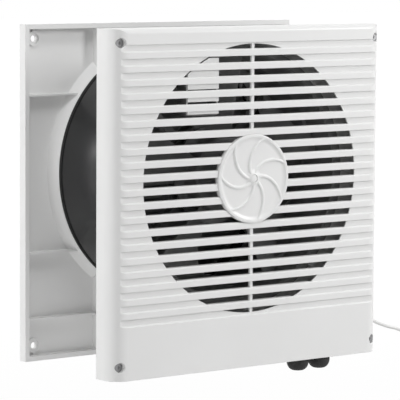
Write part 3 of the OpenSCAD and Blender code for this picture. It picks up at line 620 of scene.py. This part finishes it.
WHITE = plastic("white_abs", (0.83, 0.83, 0.825), (0.86, 0.86, 0.855), rough=0.36,
                grain_scale=1400.0, grain=0.05, edge=0.0004)
SLEEVE = plastic("charcoal_sleeve", (0.010, 0.010, 0.011), (0.015, 0.015, 0.016), rough=0.24,
                 grain_scale=700.0, grain=0.03, edge=0.0003)
DUCT = plastic("charcoal_duct", grey(0.24), grey(0.29), rough=0.42, grain_scale=900.0, grain=0.06)
BLADE = plastic("charcoal_blade", grey(0.22), grey(0.26), rough=0.36, grain_scale=900.0, grain=0.06)
CONTROL = plastic("control_body", grey(0.03), grey(0.05), rough=0.5, grain_scale=900.0, grain=0.1)
KNOB = plastic("knob_black", grey(0.008), grey(0.016), rough=0.72, grain_scale=900.0, grain=0.9)
LEAD = plastic("lead_white", (0.78, 0.78, 0.77), (0.84, 0.84, 0.83), rough=0.45,
               grain_scale=500.0, grain=0.05)
TIE = plastic("tie_black", grey(0.015), grey(0.03), rough=0.6, grain_scale=700.0, grain=0.2)
# Near-black seal ring where the sleeve enters the collar: partly a real black seal, and partly
# painted shade for the shadow in the gap between collar and sleeve.
SEAL_AND_GAP_SHADE = plastic("seal_black", grey(0.006), grey(0.010), rough=0.75, grain_scale=900.0, grain=0.1)
STEEL = metal("screw_steel", (0.55, 0.55, 0.56), rough=0.35)
HEAD = metal("screw_head", (0.30, 0.30, 0.305), rough=0.4)
MOTOR = metal("motor_metal", (0.42, 0.42, 0.43), rough=0.45)
BRASS = metal("bearing_brass", (0.75, 0.58, 0.30), rough=0.32)

LOOKS = {
    "white_abs": WHITE, "charcoal_plastic": DUCT, "blade_plastic": BLADE, "motor_metal": MOTOR,
    "screw_steel": STEEL, "bearing_brass": BRASS, "control_body": CONTROL, "knob_black": KNOB,
    "lead_white": LEAD, "tie_black": TIE, "seal_black": SEAL_AND_GAP_SHADE}


def dress(obj, material):
    """Gives the object that material alone."""
    obj.data.materials.clear()
    obj.data.materials.append(material)


for part in frame["record"]["subparts"]:
    dress(nodes[part["node"]], LOOKS[part["material_slot"]])
dress(nodes["outer_sleeve"], SLEEVE)
dress(nodes["cover_screws"], HEAD)
dress(lead, LEAD)
dress(plug_piece, LEAD)
dress(tie_piece, TIE)
dress(rosette_piece, WHITE)
dress(wheel_piece, BLADE)
for piece in knob_pieces:
    dress(piece, KNOB)


# Floor, backdrop colour and lights

FLOOR_GAP = 0.01
FLOOR_Z = cad_box[0][2] - FLOOR_GAP
FLOOR_HALF = 12.0
FLOOR_COLOUR = 0.8
FLOOR_WHITE = 1.02
FLOOR_FAR_WHITE = 1.12
FADE_FROM, FADE_TO = 0.6, 2.2
SEEN_SHARE = 0.9
WORLD_BASE = 0.16
BACKDROP = 1.0
# Name, azimuth and elevation in degrees, distance, width and height, and level
LAMPS = [
    ("key_right", 54, 19, 1.63, (0.4, 0.4), 0.50),
    ("left", -84, 3, 1.9, (0.5, 1.4), 0.17),
    ("left_behind", -128, 22, 1.9, (1.0, 1.0), 0.43),
    ("above_front", -25, 62, 1.9, (0.9, 0.7), 0.39),
    ("overhead", -170, 80, 1.9, (1.4, 1.4), 0.17)]


def seen_or_reflected(tree):
    """1 where the camera sees a surface, directly or in something glossy or clear."""
    path = tree.nodes.new("ShaderNodeLightPath")
    total = path.outputs["Is Camera Ray"]
    for name in ("Is Glossy Ray", "Is Transmission Ray"):
        either = tree.nodes.new("ShaderNodeMath")
        either.operation = "MAXIMUM"
        tree.links.new(total, either.inputs[0])
        tree.links.new(path.outputs[name], either.inputs[1])
        total = either.outputs["Value"]
    return total


def far_out(tree):
    """0 near the object, and 1 where the floor is far from it."""
    place = tree.nodes.new("ShaderNodeTexCoord")
    length = tree.nodes.new("ShaderNodeVectorMath")
    length.operation = "LENGTH"
    tree.links.new(place.outputs["Object"], length.inputs[0])
    share = tree.nodes.new("ShaderNodeMapRange")
    share.inputs["From Min"].default_value = FADE_FROM
    share.inputs["From Max"].default_value = FADE_TO
    tree.links.new(length.outputs["Value"], share.inputs["Value"])
    return share.outputs["Result"]


def make_floor():
    """Pale floor that is close to white where it is seen, and still shows the shadow."""
    mesh = bpy.data.meshes.new("floor")
    corners = [(x * FLOOR_HALF, y * FLOOR_HALF, FLOOR_Z)
               for x, y in ((-1, -1), (1, -1), (1, 1), (-1, 1))]
    mesh.from_pydata(corners, [], [(0, 1, 2, 3)])
    floor = link(bpy.data.objects.new("floor", mesh))
    material, tree, shader = new_material("floor_pale")
    shader.inputs["Base Color"].default_value = (*grey(FLOOR_COLOUR), 1)
    shader.inputs["Roughness"].default_value = 1.0
    glow = tree.nodes.new("ShaderNodeEmission")
    white = spread(tree, far_out(tree), FLOOR_WHITE, FLOOR_FAR_WHITE)
    tree.links.new(white, glow.inputs["Strength"])
    mix = tree.nodes.new("ShaderNodeMixShader")
    share = spread(tree, seen_or_reflected(tree), 0.0, SEEN_SHARE)
    tree.links.new(share, mix.inputs["Fac"])
    tree.links.new(shader.outputs["BSDF"], mix.inputs[1])
    tree.links.new(glow.outputs["Emission"], mix.inputs[2])
    tree.links.new(mix.outputs["Shader"], tree.nodes["Material Output"].inputs["Surface"])
    dress(floor, material)


def make_world():
    """Even soft light from all round, before a white backdrop."""
    world = bpy.data.worlds.new("studio")
    scene.world = world
    world.use_nodes = True
    tree = world.node_tree
    tree.nodes.clear()
    out = tree.nodes.new("ShaderNodeOutputWorld")
    background = tree.nodes.new("ShaderNodeBackground")
    background.inputs["Color"].default_value = (1, 1, 1, 1)
    strength = spread(tree, seen_or_reflected(tree), WORLD_BASE, BACKDROP)
    tree.links.new(strength, background.inputs["Strength"])
    tree.links.new(background.outputs["Background"], out.inputs["Surface"])


def softbox(name, azimuth, elevation, distance, size, level):
    """A rectangular lamp that faces the sleeve's axis. Azimuth is in degrees to the right of
    the louvres, and level is what the lamp alone gives to a white surface that faces it."""
    data = bpy.data.lights.new(name, "AREA")
    data.shape = "RECTANGLE"
    data.size, data.size_y = size
    data.energy = level * math.pi ** 2 * distance ** 2
    lamp = link(bpy.data.objects.new(name, data))
    turn, rise = math.radians(azimuth), math.radians(elevation)
    at = Vector((math.sin(turn) * math.cos(rise), -math.cos(turn) * math.cos(rise), math.sin(rise)))
    lamp.location = at * distance
    lamp.rotation_euler = (-at).to_track_quat("-Z", "Y").to_euler()


make_floor()
make_world()
for lamp in LAMPS:
    softbox(*lamp)

scene.view_settings.view_transform = "Standard"

bpy.context.view_layer.update()
